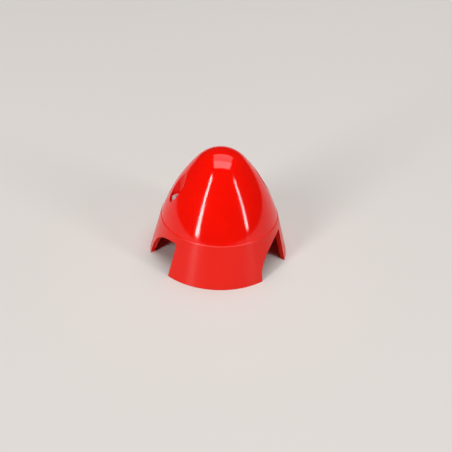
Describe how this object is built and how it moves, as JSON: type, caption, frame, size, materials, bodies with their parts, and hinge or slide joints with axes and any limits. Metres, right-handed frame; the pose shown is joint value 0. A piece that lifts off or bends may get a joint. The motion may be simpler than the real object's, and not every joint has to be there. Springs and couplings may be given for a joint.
{
  "type": "propeller spinner",
  "caption": "Ogive nose cone for a model aircraft propeller: hollow moulded shell with a stepped tapered skirt, asymmetric blade cutouts and sunk wells holding socket head fixing screws.",
  "frame": {"origin": "on the spin axis, in the plane of the base rim", "axes": "+Z along the spin axis towards the tip; +Y through one blade cutout, so -Y points through the middle of the opposite leg"},
  "size_m": [0.0635, 0.062, 0.0526],
  "materials": {
    "cone_plastic": "glossy red moulded plastic, satin below the parting step",
    "screw_steel": "bright zinc-plated steel"
  },
  "bodies": {
    "root": {"spinner_cone": "cone_plastic", "fixing_screws": "screw_steel"}
  },
  "joints": []
}
